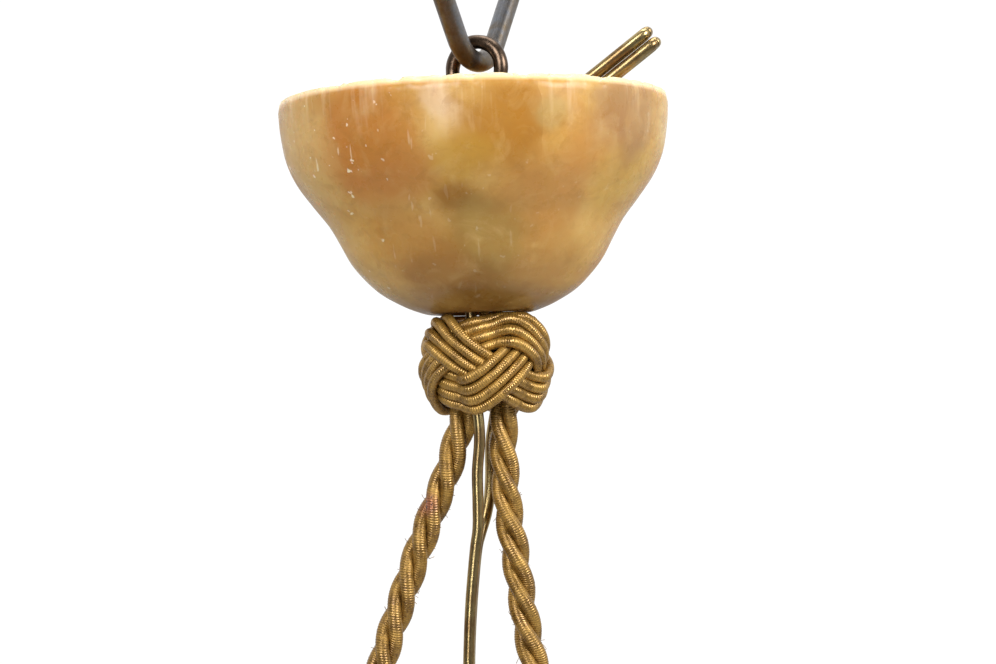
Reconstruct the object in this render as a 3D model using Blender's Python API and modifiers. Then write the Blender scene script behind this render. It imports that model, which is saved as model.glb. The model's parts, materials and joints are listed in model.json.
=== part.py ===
"""A hanging ornament: a small turned stone cup that sits on a Turk's head knot.

From the top: an open steel hanger hook, a bronze ring on it, a loop of gold gimp cord over the ring that
runs down through the cup's hole and holds the bight of a laid rope. The knot is tied round a wooden core on
that rope, the cup rests on the knot, and the rope's two ends hang below it as tails. A brass wire is bent
into a two-turn eye that leans out over the rim, and its two legs run down through the knot.

Lengths are in millimetres and angles in degrees. The origin is the hanging point, on the inside of the top
of the hook, with +Z up and the front of the ornament towards -Y.
"""

import math

import bmesh
import bpy
from mathutils import Matrix, Vector

MM = 0.001
GAP = 0.3                       # left between pieces that touch

# Hanger hook: a teardrop of round wire in an upright plane, open on its near side.
HOOK_WIRE = 2.7
HOOK_BOTTOM_RADIUS = 5.6        # of the wire's centre line, as are the next ones
HOOK_CROOK_RADIUS = 11.5
HOOK_ARM_ANGLE = 57             # how steeply the two straight arms rise
HOOK_NEAR_END = 195             # where the wire ends, as angles on the crook's circle
HOOK_CROOK_END = 150
HOOK_PLANE = 60                 # turned this far from +X towards +Y

# Ring: hangs in the bottom of the hook, square to the hook's wire.
RING_WIRE = 1.85
RING_OUTER = 9.11

# Cup: heights above its base, and radii.
CUP_HEIGHT = 27.3
CUP_HOLE_RADIUS = 4.6
CUP_OUTER = [
    (26.2, 25.15), (23.4, 24.95), (20.1, 24.35), (17.2, 23.05), (14.3, 20.95), (11.7, 18.95), (9.3, 17.6),
    (6.7, 16.2), (4.5, 14.4), (2.7, 12.4), (1.1, 9.6), (0.2, 7.3), (0.0, 6.4),
]
CUP_INNER = [
    (5.0, 9.0), (6.4, 11.6), (9.6, 14.4), (13.8, 17.0), (17.4, 19.9), (20.6, 21.5), (23.8, 22.2), (26.3, 22.5),
]
CUP_STEPS = 56
CUP_BESIDE_LINE = 0.6           # the cup sits this far to the left of the line that the cords hang on
RIM_BELOW_RING = 0.65           # from the centre of the ring's lowest wire down to the rim

# Knot, core and rope, as heights from the rim of the cup.
ROPE = 3.6
BIGHT_HALF = 2.7                # half the distance between the bight's legs
BIGHT_CROWN = -30.3             # centre line of the top of the bight
BIGHT_END = -38.0
KNOT_BELOW_CUP = [
    (0.0, 6.4), (-0.5, 7.1), (-1.3, 7.8), (-2.5, 8.3), (-4.4, 8.5), (-6.4, 8.75), (-8.3, 8.3), (-9.7, 7.8),
    (-10.9, 7.0), (-11.8, 6.3), (-12.4, 5.7),
]
KNOT_MOUTH_RADIUS = 5.4
CORE_TOP = -28.2
CORE_BOTTOM = -38.6
CORE_RADIUS = 6.05
CORE_END_RADIUS = 5.6
CORE_BORE = 4.75
CORE_BORE_FLARE = 5.1           # the bore's mouths
GIMP = 1.25

# Brass wire: its two legs and its eye, in the drop's own frame.
WIRE = 1.45
EYE_START = (3.0, -6.04)        # x and z where the eye's inner bends lie
EYE_RISE = 37
EYE_LENGTH = 24.1
EYE_HALF_WIDTH = 1.4
EYE_TURN_PITCH = 1.7
LEG_A = [
    (-3.75, -1.2, -85.0), (-3.65, -1.3, -78.0), (-3.3, -1.45, -70.6), (-2.85, -1.55, -64.2), (-2.1, -1.65, -57.7),
    (-1.65, -1.75, -54.8), (-1.55, -1.9, -51.4), (-1.5, -2.1, -47.6), (-1.2, -2.35, -43.6), (-1.4, -2.6, -40.4),
    (-1.65, -2.8, -36.8), (-1.65, -2.8, -30.0), (-1.75, -2.75, -24.6), (-1.9, -3.0, -20.4),
    (-1.0, -3.9, -15.4), (1.1, -3.7, -10.4), (3.4, -2.95, -6.3), (6.0, -1.7, -3.6),
]
LEG_B = [
    (2.9, 1.7, -10.4), (2.5, 2.2, -14.6), (2.0, 2.6, -19.2), (1.75, 2.7, -23.4), (1.65, 2.8, -28.0),
    (1.65, 2.8, -36.8), (1.15, 2.7, -40.4), (0.55, 2.5, -43.6), (0.4, 2.45, -46.0), (0.35, 2.4, -48.2),
    (0.05, 2.1, -51.0), (-0.6, 1.6, -53.4), (-1.35, 1.0, -55.6), (-1.95, 0.45, -57.9), (-2.7, 0.25, -64.2),
    (-3.2, 0.25, -70.6), (-3.5, 0.35, -78.0), (-3.6, 0.4, -83.2),
]

# Rope tails: their routes from the knot's lower mouth, in the drop's own frame.
TAIL_LEFT = [
    (-2.75, 0.0, -39.1), (-3.25, 0.0, -41.0), (-4.25, 0.0, -44.2), (-5.55, 0.05, -48.0), (-6.9, 0.1, -51.3),
    (-8.15, 0.15, -54.4), (-9.4, 0.2, -57.5), (-10.95, 0.25, -61.6), (-12.4, 0.3, -65.7), (-13.9, 0.3, -69.9),
    (-15.2, 0.3, -74.0), (-16.4, 0.25, -78.6), (-17.3, 0.2, -83.4), (-17.95, 0.1, -88.2), (-18.35, 0.0, -92.6),
    (-18.6, 0.0, -96.4),
]
TAIL_RIGHT = [
    (2.6, 0.0, -39.1), (2.1, 0.0, -41.0), (1.95, 0.0, -43.4), (2.0, 0.05, -47.4), (2.2, 0.1, -51.4),
    (2.5, 0.15, -54.4), (2.85, 0.2, -57.0), (3.45, 0.2, -61.8), (4.1, 0.2, -67.0), (4.9, 0.15, -72.2),
    (5.6, 0.1, -77.4), (6.15, 0.05, -82.4), (6.55, 0.0, -87.4), (6.8, 0.0, -92.6), (6.95, 0.0, -97.6),
]
TAIL_POINT_SPACING = 4.0
WHIPPING_LENGTH = 5.0
WHIPPING_WALL = 0.55
TUFT_LENGTH = 11.0
TUFT_TOP_RADIUS = 1.7
TUFT_END_RADIUS = 3.4

# Heights that follow from the sizes above.
ARM = math.radians(HOOK_ARM_ANGLE)
ARM_LENGTH = (HOOK_CROOK_RADIUS - HOOK_BOTTOM_RADIUS) * math.tan(ARM)
CROOK_CENTRE = (HOOK_BOTTOM_RADIUS * (1 - math.cos(ARM)) + ARM_LENGTH * math.sin(ARM)
                + HOOK_CROOK_RADIUS * math.cos(ARM))
HOOK_BOTTOM_Z = HOOK_WIRE / 2 - (CROOK_CENTRE + HOOK_CROOK_RADIUS)
RING_CENTRE_RADIUS = (RING_OUTER - RING_WIRE) / 2
RING_Z = HOOK_BOTTOM_Z + HOOK_WIRE / 2 + GAP - (RING_OUTER / 2 - RING_WIRE)
RING_BOTTOM_Z = RING_Z - RING_CENTRE_RADIUS
RIM_Z = RING_BOTTOM_Z - RIM_BELOW_RING
HOOK_DIRECTION = Vector((math.cos(math.radians(HOOK_PLANE)), math.sin(math.radians(HOOK_PLANE)), 0))
DROP_ORIGIN = Vector((0, 0, RIM_Z))     # on the hanging line at the rim's height: the drop's own frame
RIM_CENTRE = DROP_ORIGIN - Vector((CUP_BESIDE_LINE, 0, 0))


def clear_scene():
    for obj in list(bpy.data.objects):
        bpy.data.objects.remove(obj, do_unlink=True)


def make_material(name, color, roughness, metallic=0.0):
    material = bpy.data.materials.new(name)
    material.use_nodes = True
    shader = material.node_tree.nodes["Principled BSDF"]
    shader.inputs["Base Color"].default_value = (*color, 1)
    shader.inputs["Roughness"].default_value = roughness
    shader.inputs["Metallic"].default_value = metallic
    return material


def smooth_path(points, spacing, closed=False):
    """Points at about the given spacing on a Catmull-Rom curve through the given ones."""
    points = [Vector(p) for p in points]
    count = len(points)
    last = count if closed else count - 1
    path = []
    for i in range(last):
        if closed:
            before, start, end, after = (points[(i + k) % count] for k in (-1, 0, 1, 2))
        else:
            start, end = points[i], points[i + 1]
            before = points[i - 1] if i else start * 2 - end
            after = points[i + 2] if i + 2 < count else end * 2 - start
        steps = max(1, round((end - start).length / spacing))
        for k in range(steps):
            t = k / steps
            path.append(0.5 * (2 * start + (end - before) * t
                               + (2 * before - 5 * start + 4 * end - after) * t ** 2
                               + (3 * start - before - 3 * end + after) * t ** 3))
    if not closed:
        path.append(points[-1])
    return path


def in_drop(points):
    return [DROP_ORIGIN + Vector(p) for p in points]


def link(obj, material, collection):
    obj.data.materials.append(material)
    collection.objects.link(obj)
    return obj


def make_tube(name, path, diameter, material, collection, closed=False, resolution=2):
    """A round tube along a path of points in millimetres."""
    curve = bpy.data.curves.new(name, "CURVE")
    curve.dimensions = "3D"
    spline = curve.splines.new("POLY")
    spline.points.add(len(path) - 1)
    for point, place in zip(spline.points, path):
        point.co = (*(place * MM), 1)
    spline.use_cyclic_u = closed
    spline.use_smooth = True
    curve.bevel_depth = diameter / 2 * MM
    curve.bevel_resolution = resolution
    curve.use_fill_caps = not closed
    curve.twist_mode = "MINIMUM"
    return link(bpy.data.objects.new(name, curve), material, collection)


def make_turned(name, profile, steps, place, direction, material, collection):
    """A closed profile of (height, radius) turned about the given direction through a place.

    The profile runs down the outer side, in along the bottom, up the bore and out along the top."""
    mesh = bpy.data.meshes.new(name)
    shape = bmesh.new()
    rim = [shape.verts.new((radius * MM, 0, height * MM)) for height, radius in profile]
    for i, vert in enumerate(rim):
        shape.edges.new((vert, rim[(i + 1) % len(rim)]))
    shape.to_mesh(mesh)
    shape.free()
    obj = bpy.data.objects.new(name, mesh)
    obj.location = place * MM
    obj.rotation_euler = direction.to_track_quat("Z", "Y").to_euler()
    screw = obj.modifiers.new("turn", "SCREW")
    screw.steps = screw.render_steps = steps
    screw.use_merge_vertices = True
    screw.merge_threshold = 0.00001
    screw.use_smooth_shade = True
    return link(obj, material, collection)


def make_pivot(name, place, collection, parent=None):
    """An empty on a joint's axis, which the pieces of the moving body are parented to."""
    pivot = bpy.data.objects.new(name, None)
    pivot.empty_display_size = 3 * MM
    collection.objects.link(pivot)
    pivot.location = place * MM
    if parent:
        bpy.context.view_layer.update()
        pivot.parent = parent
        pivot.matrix_parent_inverse = parent.matrix_world.inverted()
    bpy.context.view_layer.update()
    return pivot


def attach(pivot, *pieces):
    for piece in pieces:
        piece.parent = pivot
        piece.matrix_parent_inverse = pivot.matrix_world.inverted()


def arc(radius, centre_height, start, end, step=9):
    """Points (across, up) on an arc about (0, centre_height), from one angle to another."""
    count = max(2, round(abs(end - start) / step))
    angles = [math.radians(start + (end - start) * i / count) for i in range(count + 1)]
    return [(radius * math.cos(a), centre_height + radius * math.sin(a)) for a in angles]


def make_hook(material, collection):
    """The wire runs from its near end down one arm, round the bottom, up the other and over the crook."""
    bend = 90 - HOOK_ARM_ANGLE
    outline = arc(HOOK_CROOK_RADIUS, CROOK_CENTRE, HOOK_NEAR_END, 180 + bend)
    outline += arc(HOOK_BOTTOM_RADIUS, HOOK_BOTTOM_RADIUS, 180 + bend, 360 - bend)
    outline += arc(HOOK_CROOK_RADIUS, CROOK_CENTRE, -bend, HOOK_CROOK_END)
    path = [HOOK_DIRECTION * across + Vector((0, 0, HOOK_BOTTOM_Z + up)) for across, up in outline]
    return make_tube("hanger_hook", path, HOOK_WIRE, material, collection, resolution=3)


def make_ring(material, collection):
    bpy.ops.mesh.primitive_torus_add(
        major_radius=RING_CENTRE_RADIUS * MM, minor_radius=RING_WIRE / 2 * MM,
        major_segments=40, minor_segments=10)
    ring = bpy.context.object
    ring.name = "hanging_ring"
    for owner in list(ring.users_collection):
        owner.objects.unlink(ring)
    ring.location = (0, 0, RING_Z * MM)
    ring.rotation_euler = HOOK_DIRECTION.to_track_quat("Z", "Y").to_euler()
    ring.data.shade_smooth()
    return link(ring, material, collection)


def make_suspension_loop(material, collection):
    """An endless loop of gimp: over the ring's lowest wire, down both sides and under the rope's bight.

    It turns from the hook's plane at the ring to the front-to-back plane at the bight."""
    top = Vector((0, 0, RING_BOTTOM_Z))
    bottom = DROP_ORIGIN + Vector((0, 0, BIGHT_CROWN))
    top_half = RING_WIRE / 2 + GAP + GIMP / 2
    bottom_half = ROPE / 2 + GAP + GIMP / 2
    turn = math.radians(90 - HOOK_PLANE)
    bend_steps = 8
    leg_steps = 10

    def across(part):
        angle = math.pi / 2 - turn * part
        return Vector((math.cos(angle), math.sin(angle), 0))

    def leg(side, steps):
        points = []
        for i in steps:
            part = i / leg_steps
            eased = part * part * (3 - 2 * part)
            half = bottom_half + (top_half - bottom_half) * eased
            points.append(bottom.lerp(top, part) + across(eased) * half * side)
        return points

    def bend(centre, half, part, side, rise):
        angles = [math.pi * i / bend_steps for i in range(1, bend_steps)]
        return [centre + across(part) * half * side * math.cos(a) + Vector((0, 0, rise * half * math.sin(a)))
                for a in angles]

    path = leg(-1, range(leg_steps + 1))
    path += bend(top, top_half, 1, -1, 1)
    path += leg(1, range(leg_steps, -1, -1))
    path += bend(bottom, bottom_half, 0, 1, -1)
    return make_tube("suspension_loop", path, GIMP, material, collection, closed=True)


def make_cup(material, collection):
    rim_round = [(CUP_HEIGHT - 0.3, 24.6), (CUP_HEIGHT, 23.9), (CUP_HEIGHT - 0.2, 22.9)]
    outer = [(p.x, p.y) for p in smooth_path([(h, r, 0) for h, r in CUP_OUTER], 2.4)]
    inner = [(p.x, p.y) for p in smooth_path([(h, r, 0) for h, r in CUP_INNER], 2.4)]
    hole = [(0, CUP_HOLE_RADIUS), (CUP_INNER[0][0], CUP_HOLE_RADIUS)]
    profile = rim_round[:2][::-1] + outer + hole + inner + rim_round[2:]
    base = RIM_CENTRE - Vector((0, 0, CUP_HEIGHT))
    return make_turned("stone_cup", profile, CUP_STEPS, base, Vector((0, 0, 1)), material, collection)


def make_knot(material, collection):
    top = -CUP_HEIGHT - GAP
    outer = [(top + height, radius) for height, radius in KNOT_BELOW_CUP]
    clear = CORE_RADIUS + GAP
    end_clear = CORE_END_RADIUS + GAP
    middle = (CORE_TOP + CORE_BOTTOM) / 2
    inner = [(CORE_BOTTOM - GAP, CORE_BORE_FLARE), (CORE_BOTTOM - GAP, end_clear - 0.1), (CORE_BOTTOM, end_clear),
             (middle, clear), (CORE_TOP, end_clear), (CORE_TOP + GAP, end_clear - 0.1)]
    bottom = [(outer[-1][0], KNOT_MOUTH_RADIUS)]
    return make_turned("turks_head_knot", outer + bottom + inner, 40, DROP_ORIGIN, Vector((0, 0, 1)),
                       material, collection)


def make_core(material, collection):
    middle = (CORE_TOP + CORE_BOTTOM) / 2
    quarter = (CORE_TOP - CORE_BOTTOM) / 4
    bulge = CORE_END_RADIUS + (CORE_RADIUS - CORE_END_RADIUS) / 2
    mouth = CORE_BORE_FLARE - CORE_BORE
    profile = [
        (CORE_TOP, CORE_END_RADIUS - 0.1), (middle + quarter, bulge), (middle, CORE_RADIUS - 0.05),
        (middle - quarter, bulge), (CORE_BOTTOM, CORE_END_RADIUS - 0.1), (CORE_BOTTOM, CORE_BORE_FLARE),
        (CORE_BOTTOM + 4 * mouth, CORE_BORE), (CORE_TOP - mouth, CORE_BORE), (CORE_TOP, CORE_BORE_FLARE),
    ]
    return make_turned("knot_core", profile, 32, DROP_ORIGIN, Vector((0, 0, 1)), material, collection)


def make_bight(material, collection):
    """The rope's middle: an upside-down U inside the core."""
    centre = BIGHT_CROWN - BIGHT_HALF
    outline = [(-BIGHT_HALF, BIGHT_END)] + arc(BIGHT_HALF, centre, 180, 0, 15) + [(BIGHT_HALF, BIGHT_END)]
    path = in_drop([(x, 0, z) for x, z in outline])
    return make_tube("rope_bight", path, ROPE, material, collection, resolution=3)


def eye_point(along, side, turn):
    """A point of the wire's eye: along its length, side -1 front or 1 back, and how many turns down."""
    rise = math.radians(EYE_RISE)
    drop = EYE_TURN_PITCH * turn
    return (EYE_START[0] + along * math.cos(rise) + drop * math.sin(rise),
            side * EYE_HALF_WIDTH,
            EYE_START[1] + along * math.sin(rise) - drop * math.cos(rise))


def eye_bend(end, turn, next_turn):
    """Points of the half-circle that joins the eye's two sides, at its tip (1) or at its inner end (-1)."""
    centre = EYE_LENGTH - EYE_HALF_WIDTH if end > 0 else EYE_HALF_WIDTH
    steps = 6
    points = []
    for i in range(steps + 1):
        angle = math.pi * i / steps
        part = turn + (next_turn - turn) * i / steps
        points.append(eye_point(centre + end * EYE_HALF_WIDTH * math.sin(angle), -end * math.cos(angle), part))
    return points


def make_wire(material, collection):
    """Up one leg, twice round the long narrow eye, and down the other leg."""
    half_way = EYE_LENGTH / 2
    route = LEG_A + [eye_point(half_way, -1, 0)] + eye_bend(1, 0, 0) + [eye_point(half_way, 1, 0)]
    route += eye_bend(-1, 0, 1) + [eye_point(half_way, -1, 1)] + eye_bend(1, 1, 1)
    route += [eye_point(half_way, 1, 1), eye_point(3.6, 1, 1)] + LEG_B
    path = smooth_path(in_drop(route), 2.4)
    return make_tube("brass_wire", path, WIRE, material, collection)


def make_tail(side, route, rope, thread, collection):
    """A rope tail with a whipping round its lower end and a frayed tuft below that."""
    path = smooth_path(in_drop(route), TAIL_POINT_SPACING)
    end = path[-1]
    down = (end - path[-2]).normalized()
    tail = make_tube("rope_tail_" + side, path, ROPE, rope, collection, resolution=3)
    bore = ROPE / 2 + GAP
    outer = bore + WHIPPING_WALL
    band = [(WHIPPING_LENGTH, outer - 0.2), (WHIPPING_LENGTH - 0.5, outer), (0.5, outer), (0, outer - 0.2),
            (0, bore), (WHIPPING_LENGTH, bore)]
    whipping = make_turned("tail_whipping_" + side, band, 24, end, -down, thread, collection)
    name = "tail_tuft_" + side
    mesh = bpy.data.meshes.new(name)
    shape = bmesh.new()
    turn = down.to_track_quat("Z", "Y").to_matrix().to_4x4()
    middle = end + down * (GAP + TUFT_LENGTH / 2)
    bmesh.ops.create_cone(
        shape, cap_ends=True, segments=16, depth=TUFT_LENGTH * MM,
        radius1=TUFT_TOP_RADIUS * MM, radius2=TUFT_END_RADIUS * MM,
        matrix=Matrix.Translation(middle * MM) @ turn)
    shape.to_mesh(mesh)
    shape.free()
    tuft = link(bpy.data.objects.new(name, mesh), rope, collection)
    return tail, whipping, tuft


def build():
    clear_scene()
    collection = bpy.data.collections.new("hanging_cup_ornament")
    bpy.context.scene.collection.children.link(collection)
    steel = make_material("hook_steel", (0.33, 0.34, 0.34), 0.42, 0.9)
    bronze = make_material("ring_bronze", (0.24, 0.12, 0.08), 0.38, 0.9)
    stone = make_material("onyx", (0.66, 0.42, 0.20), 0.22)
    gold_cord = make_material("gold_gimp", (0.45, 0.28, 0.09), 0.5)
    gold_rope = make_material("gold_rope", (0.47, 0.30, 0.11), 0.55)
    thread = make_material("whipping_thread", (0.36, 0.22, 0.07), 0.55)
    wood = make_material("core_wood", (0.45, 0.30, 0.17), 0.7)
    brass = make_material("brass", (0.48, 0.36, 0.16), 0.35, 0.9)

    ring_pivot = make_pivot("ring_pivot", Vector((0, 0, HOOK_BOTTOM_Z)), collection)
    drop_pivot = make_pivot("drop_pivot", Vector((0, 0, RING_BOTTOM_Z)), collection, ring_pivot)
    cup_pivot = make_pivot("cup_pivot", RIM_CENTRE, collection, drop_pivot)
    left_pivot = make_pivot("left_tail_pivot", in_drop(TAIL_LEFT)[0], collection, drop_pivot)
    right_pivot = make_pivot("right_tail_pivot", in_drop(TAIL_RIGHT)[0], collection, drop_pivot)

    make_hook(steel, collection)
    attach(ring_pivot, make_ring(bronze, collection))
    attach(drop_pivot,
           make_suspension_loop(gold_cord, collection),
           make_knot(gold_cord, collection),
           make_core(wood, collection),
           make_bight(gold_rope, collection),
           make_wire(brass, collection))
    attach(cup_pivot, make_cup(stone, collection))
    attach(left_pivot, *make_tail("left", TAIL_LEFT, gold_rope, thread, collection))
    attach(right_pivot, *make_tail("right", TAIL_RIGHT, gold_rope, thread, collection))


build()
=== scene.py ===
"""The looks of a hanging stone-cup ornament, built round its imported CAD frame.

Lengths are in millimetres until a mesh is made, angles in degrees. The drop's own frame has its origin on the
hanging line, at the height of the cup's rim, as in the part's source.
"""

import json
import math

import bpy
import numpy as np
from mathutils import Matrix, Vector, noise


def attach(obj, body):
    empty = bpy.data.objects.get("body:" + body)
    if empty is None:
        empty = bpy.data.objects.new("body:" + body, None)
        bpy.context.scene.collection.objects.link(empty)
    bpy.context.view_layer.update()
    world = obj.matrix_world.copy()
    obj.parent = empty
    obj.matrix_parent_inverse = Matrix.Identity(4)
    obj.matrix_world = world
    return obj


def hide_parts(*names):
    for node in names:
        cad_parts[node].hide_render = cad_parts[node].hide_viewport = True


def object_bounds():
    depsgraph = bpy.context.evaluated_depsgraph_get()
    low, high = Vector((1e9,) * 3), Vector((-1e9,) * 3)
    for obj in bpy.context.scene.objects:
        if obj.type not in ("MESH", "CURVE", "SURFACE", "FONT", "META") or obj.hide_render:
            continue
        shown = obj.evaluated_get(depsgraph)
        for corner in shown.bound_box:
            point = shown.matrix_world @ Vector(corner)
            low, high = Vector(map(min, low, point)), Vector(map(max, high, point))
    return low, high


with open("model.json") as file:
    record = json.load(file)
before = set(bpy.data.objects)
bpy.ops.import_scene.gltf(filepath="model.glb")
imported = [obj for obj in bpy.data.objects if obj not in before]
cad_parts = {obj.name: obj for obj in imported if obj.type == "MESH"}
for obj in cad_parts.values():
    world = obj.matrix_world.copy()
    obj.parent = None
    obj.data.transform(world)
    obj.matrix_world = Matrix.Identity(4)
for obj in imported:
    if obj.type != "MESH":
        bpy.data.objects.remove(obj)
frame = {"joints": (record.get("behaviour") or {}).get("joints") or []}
cad_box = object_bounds()

MM = 0.001
UP = np.array((0.0, 0.0, 1.0))

# Places, read from the frame.
JOINTS = {joint["name"]: joint for joint in frame["joints"]}
HOOK_BOTTOM_Z = JOINTS["ring_swing"]["pos_m"][2] / MM
RING_BOTTOM_Z = JOINTS["drop_swing"]["pos_m"][2] / MM
HOOK_DIRECTION = np.array(JOINTS["ring_swing"]["axis"], float)
RIM_CENTRE = np.array(JOINTS["cup_turn"]["pos_m"], float) / MM
DROP_ORIGIN = RIM_CENTRE * (0, 0, 1)

# Sizes that the part's source also has. Only the wire's legs differ from it, by up to 0.25.
HOOK_WIRE = 2.7
HOOK_BOTTOM_RADIUS = 5.6
HOOK_CROOK_RADIUS = 11.5
HOOK_ARM_ANGLE = 57
HOOK_NEAR_END = 195
HOOK_CROOK_END = 150
RING_WIRE = 1.85
RING_CENTRE_RADIUS = 3.63
CUP_HEIGHT = 27.3
CUP_HOLE_RADIUS = 4.6
CUP_OUTER = [
    (26.2, 25.15), (23.4, 24.95), (20.1, 24.35), (17.2, 23.05), (14.3, 20.95), (11.7, 18.95), (9.3, 17.6),
    (6.7, 16.2), (4.5, 14.4), (2.7, 12.4), (1.1, 9.6), (0.2, 7.3), (0.0, 6.4),
]
CUP_INNER = [
    (5.0, 9.0), (6.4, 11.6), (9.6, 14.4), (13.8, 17.0), (17.4, 19.9), (20.6, 21.5), (23.8, 22.2), (26.3, 22.5),
]
ROPE = 3.6
BIGHT_HALF = 2.7
BIGHT_CROWN = -30.3
BIGHT_END = -38.0
GIMP = 1.25
GAP = 0.3
WIRE = 1.45
EYE_START = (3.0, -6.04)
EYE_RISE = 37
EYE_LENGTH = 24.1
EYE_HALF_WIDTH = 1.4
EYE_TURN_PITCH = 1.7
LEG_A = [
    (-3.75, -1.2, -85.0), (-3.65, -1.3, -78.0), (-3.3, -1.45, -70.6), (-2.85, -1.55, -64.2),
    (-2.1, -1.65, -57.7), (-1.65, -1.75, -54.8), (-1.55, -1.9, -51.4), (-1.5, -2.1, -47.6),
    (-1.1, -2.35, -43.6), (-1.2, -2.6, -40.4),
    (-1.65, -2.8, -36.8), (-1.65, -2.8, -30.0), (-1.75, -2.75, -24.6), (-1.9, -3.0, -20.4),
    (-1.0, -3.9, -15.4), (1.1, -3.7, -10.4), (3.4, -2.95, -6.3), (6.0, -1.7, -3.6),
]
LEG_B = [
    (2.9, 1.7, -10.4), (2.5, 2.2, -14.6), (2.0, 2.6, -19.2), (1.75, 2.7, -23.4), (1.65, 2.8, -28.0),
    (1.65, 2.8, -36.8), (0.95, 2.7, -40.4), (0.35, 2.5, -43.6), (0.2, 2.45, -46.0), (0.15, 2.4, -48.2),
    (-0.1, 2.1, -51.0), (-0.6, 1.6, -53.4), (-1.35, 1.0, -55.6), (-1.95, 0.45, -57.9), (-2.7, 0.25, -64.2),
    (-3.2, 0.25, -70.6), (-3.5, 0.35, -78.0), (-3.6, 0.4, -83.2),
]
TAIL_LEFT = [
    (-2.75, 0.0, -39.1), (-3.25, 0.0, -41.0), (-4.25, 0.0, -44.2), (-5.55, 0.05, -48.0), (-6.9, 0.1, -51.3),
    (-8.15, 0.15, -54.4), (-9.4, 0.2, -57.5), (-10.95, 0.25, -61.6), (-12.4, 0.3, -65.7), (-13.9, 0.3, -69.9),
    (-15.2, 0.3, -74.0), (-16.4, 0.25, -78.6), (-17.3, 0.2, -83.4), (-17.95, 0.1, -88.2), (-18.35, 0.0, -92.6),
    (-18.6, 0.0, -96.4),
]
TAIL_RIGHT = [
    (2.6, 0.0, -39.1), (2.1, 0.0, -41.0), (1.95, 0.0, -43.4), (2.0, 0.05, -47.4), (2.2, 0.1, -51.4),
    (2.5, 0.15, -54.4), (2.85, 0.2, -57.0), (3.45, 0.2, -61.8), (4.1, 0.2, -67.0), (4.9, 0.15, -72.2),
    (5.6, 0.1, -77.4), (6.15, 0.05, -82.4), (6.55, 0.0, -87.4), (6.8, 0.0, -92.6), (6.95, 0.0, -97.6),
]
TUFT_LENGTH = 11.0


# ---------------------------------------------------------------- paths and sweeps

def in_drop(points):
    return np.asarray(points, float) + DROP_ORIGIN


def smooth_path(points, spacing, closed=False):
    """Points at about the given spacing on a Catmull-Rom curve through the given ones."""
    points = np.asarray(points, float)
    count = len(points)
    path = []
    for i in range(count if closed else count - 1):
        if closed:
            before, start, end, after = (points[(i + k) % count] for k in (-1, 0, 1, 2))
        else:
            start, end = points[i], points[i + 1]
            before = points[i - 1] if i else start * 2 - end
            after = points[i + 2] if i + 2 < count else end * 2 - start
        steps = max(1, round(np.linalg.norm(end - start) / spacing))
        t = (np.arange(steps) / steps)[:, None]
        path.append(0.5 * (2 * start + (end - before) * t + (2 * before - 5 * start + 4 * end - after) * t ** 2
                           + (3 * start - before - 3 * end + after) * t ** 3))
    if not closed:
        path.append(points[-1:])
    return np.concatenate(path)


def even_path(points, spacing, closed=False):
    """The same line with its points evenly spaced."""
    line = np.vstack([points, points[:1]]) if closed else points
    along = np.concatenate([[0], np.cumsum(np.linalg.norm(np.diff(line, axis=0), axis=1))])
    count = max(2, round(along[-1] / spacing))
    wanted = np.linspace(0, along[-1], count + 1)
    even = np.column_stack([np.interp(wanted, along, line[:, k]) for k in range(3)])
    return even[:-1] if closed else even


def random_values(count, seed):
    return np.random.default_rng(seed).uniform(-1, 1, count)


def normalized(vectors):
    return vectors / np.linalg.norm(vectors, axis=-1, keepdims=True)


def tangents(path, closed=False):
    if closed:
        return normalized(np.roll(path, -1, 0) - np.roll(path, 1, 0))
    return normalized(np.gradient(path, axis=0))


def transported(path, closed=False):
    """A pair of unit vectors across the path at each point, that turn as little as they can."""
    along = tangents(path, closed)
    side = np.cross(along[0], (0, 1, 0) if abs(along[0][1]) < 0.8 else (1, 0, 0))
    sides = []
    for direction in along:
        side = side - direction * side.dot(direction)
        side = side / np.linalg.norm(side)
        sides.append(side)
    sides = np.array(sides)
    if closed:
        # Spread the leftover turn between the last point and the first along the whole path.
        last = sides[-1] - along[0] * sides[-1].dot(along[0])
        last = last / np.linalg.norm(last)
        over = np.cross(along[0], sides[0])
        slip = math.atan2(last.dot(over), last.dot(sides[0]))
        turn = -slip * np.arange(len(path))[:, None] / len(path)
        sides = sides * np.cos(turn) + np.cross(along, sides) * np.sin(turn)
    return sides, np.cross(along, sides)


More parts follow.
